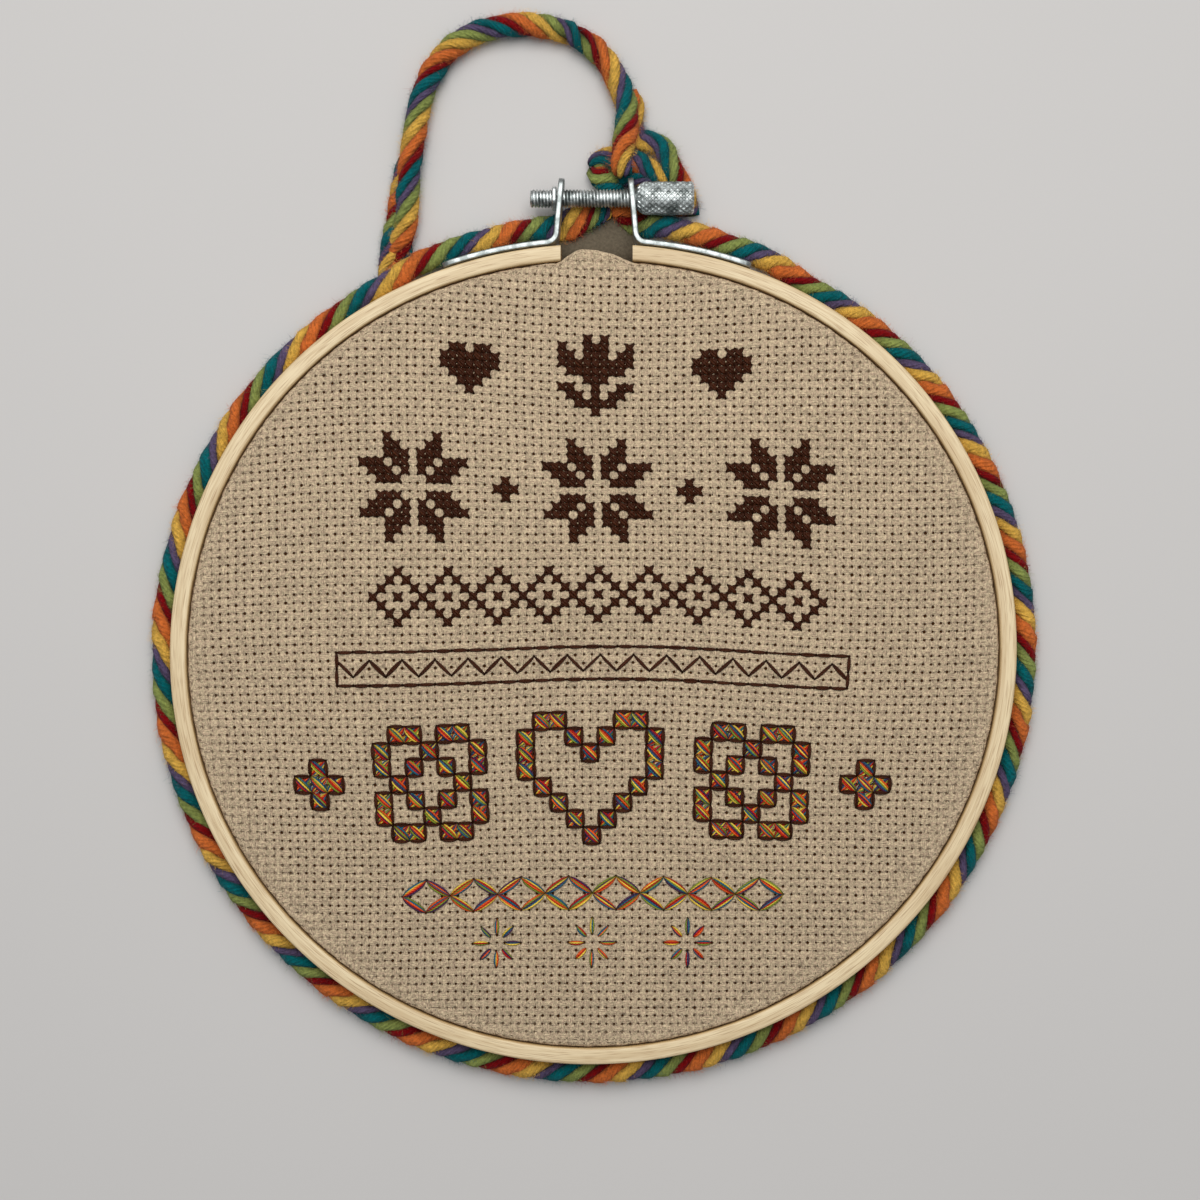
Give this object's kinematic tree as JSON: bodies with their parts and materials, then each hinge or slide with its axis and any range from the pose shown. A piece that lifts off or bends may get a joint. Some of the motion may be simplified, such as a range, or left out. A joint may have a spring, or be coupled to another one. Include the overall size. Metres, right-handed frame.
{
  "type": "hoop embroidery art in a wooden embroidery hoop with a twisted cord rim and hanging loop",
  "caption": "Stitched even-weave cloth stretched in a split wooden hoop with a clamping thumbscrew, edged with a twisted yarn cord that ends in a hanging loop.",
  "frame": {"origin": "middle of the underside of the hoop's box, without the hanging loop, on the surface that the hoop lies on", "axes": "+Z out of the stitched face, +Y towards the screw and the hanging loop, +X to the right of the face"},
  "size_m": [0.196, 0.2371, 0.01],
  "materials": {
    "wood": "pale bare wood, sanded, fine straight grain",
    "cloth": "beige even-weave cotton with open corners between the thread blocks",
    "zinc": "bright zinc plate",
    "yarn": "soft fuzzy yarn in six colours: red, orange, yellow, green, teal and purple"
  },
  "bodies": {
    "hoop": {"outer_ring": "wood", "inner_ring": "wood", "cloth": "cloth", "bracket_left": "zinc", "bracket_right": "zinc", "nut": "zinc", "rim_cord": "yarn", "hanger_cord": "yarn", "knot_lobe": "yarn"},
    "screw": {"thumbscrew": "zinc"}
  },
  "joints": [
    {"name": "screw_turn", "type": "hinge", "parent": "hoop", "child": "screw", "pos_m": [0, 0.0904, 0.0062], "axis": [1, 0, 0], "range_deg": [0, 270]}
  ]
}
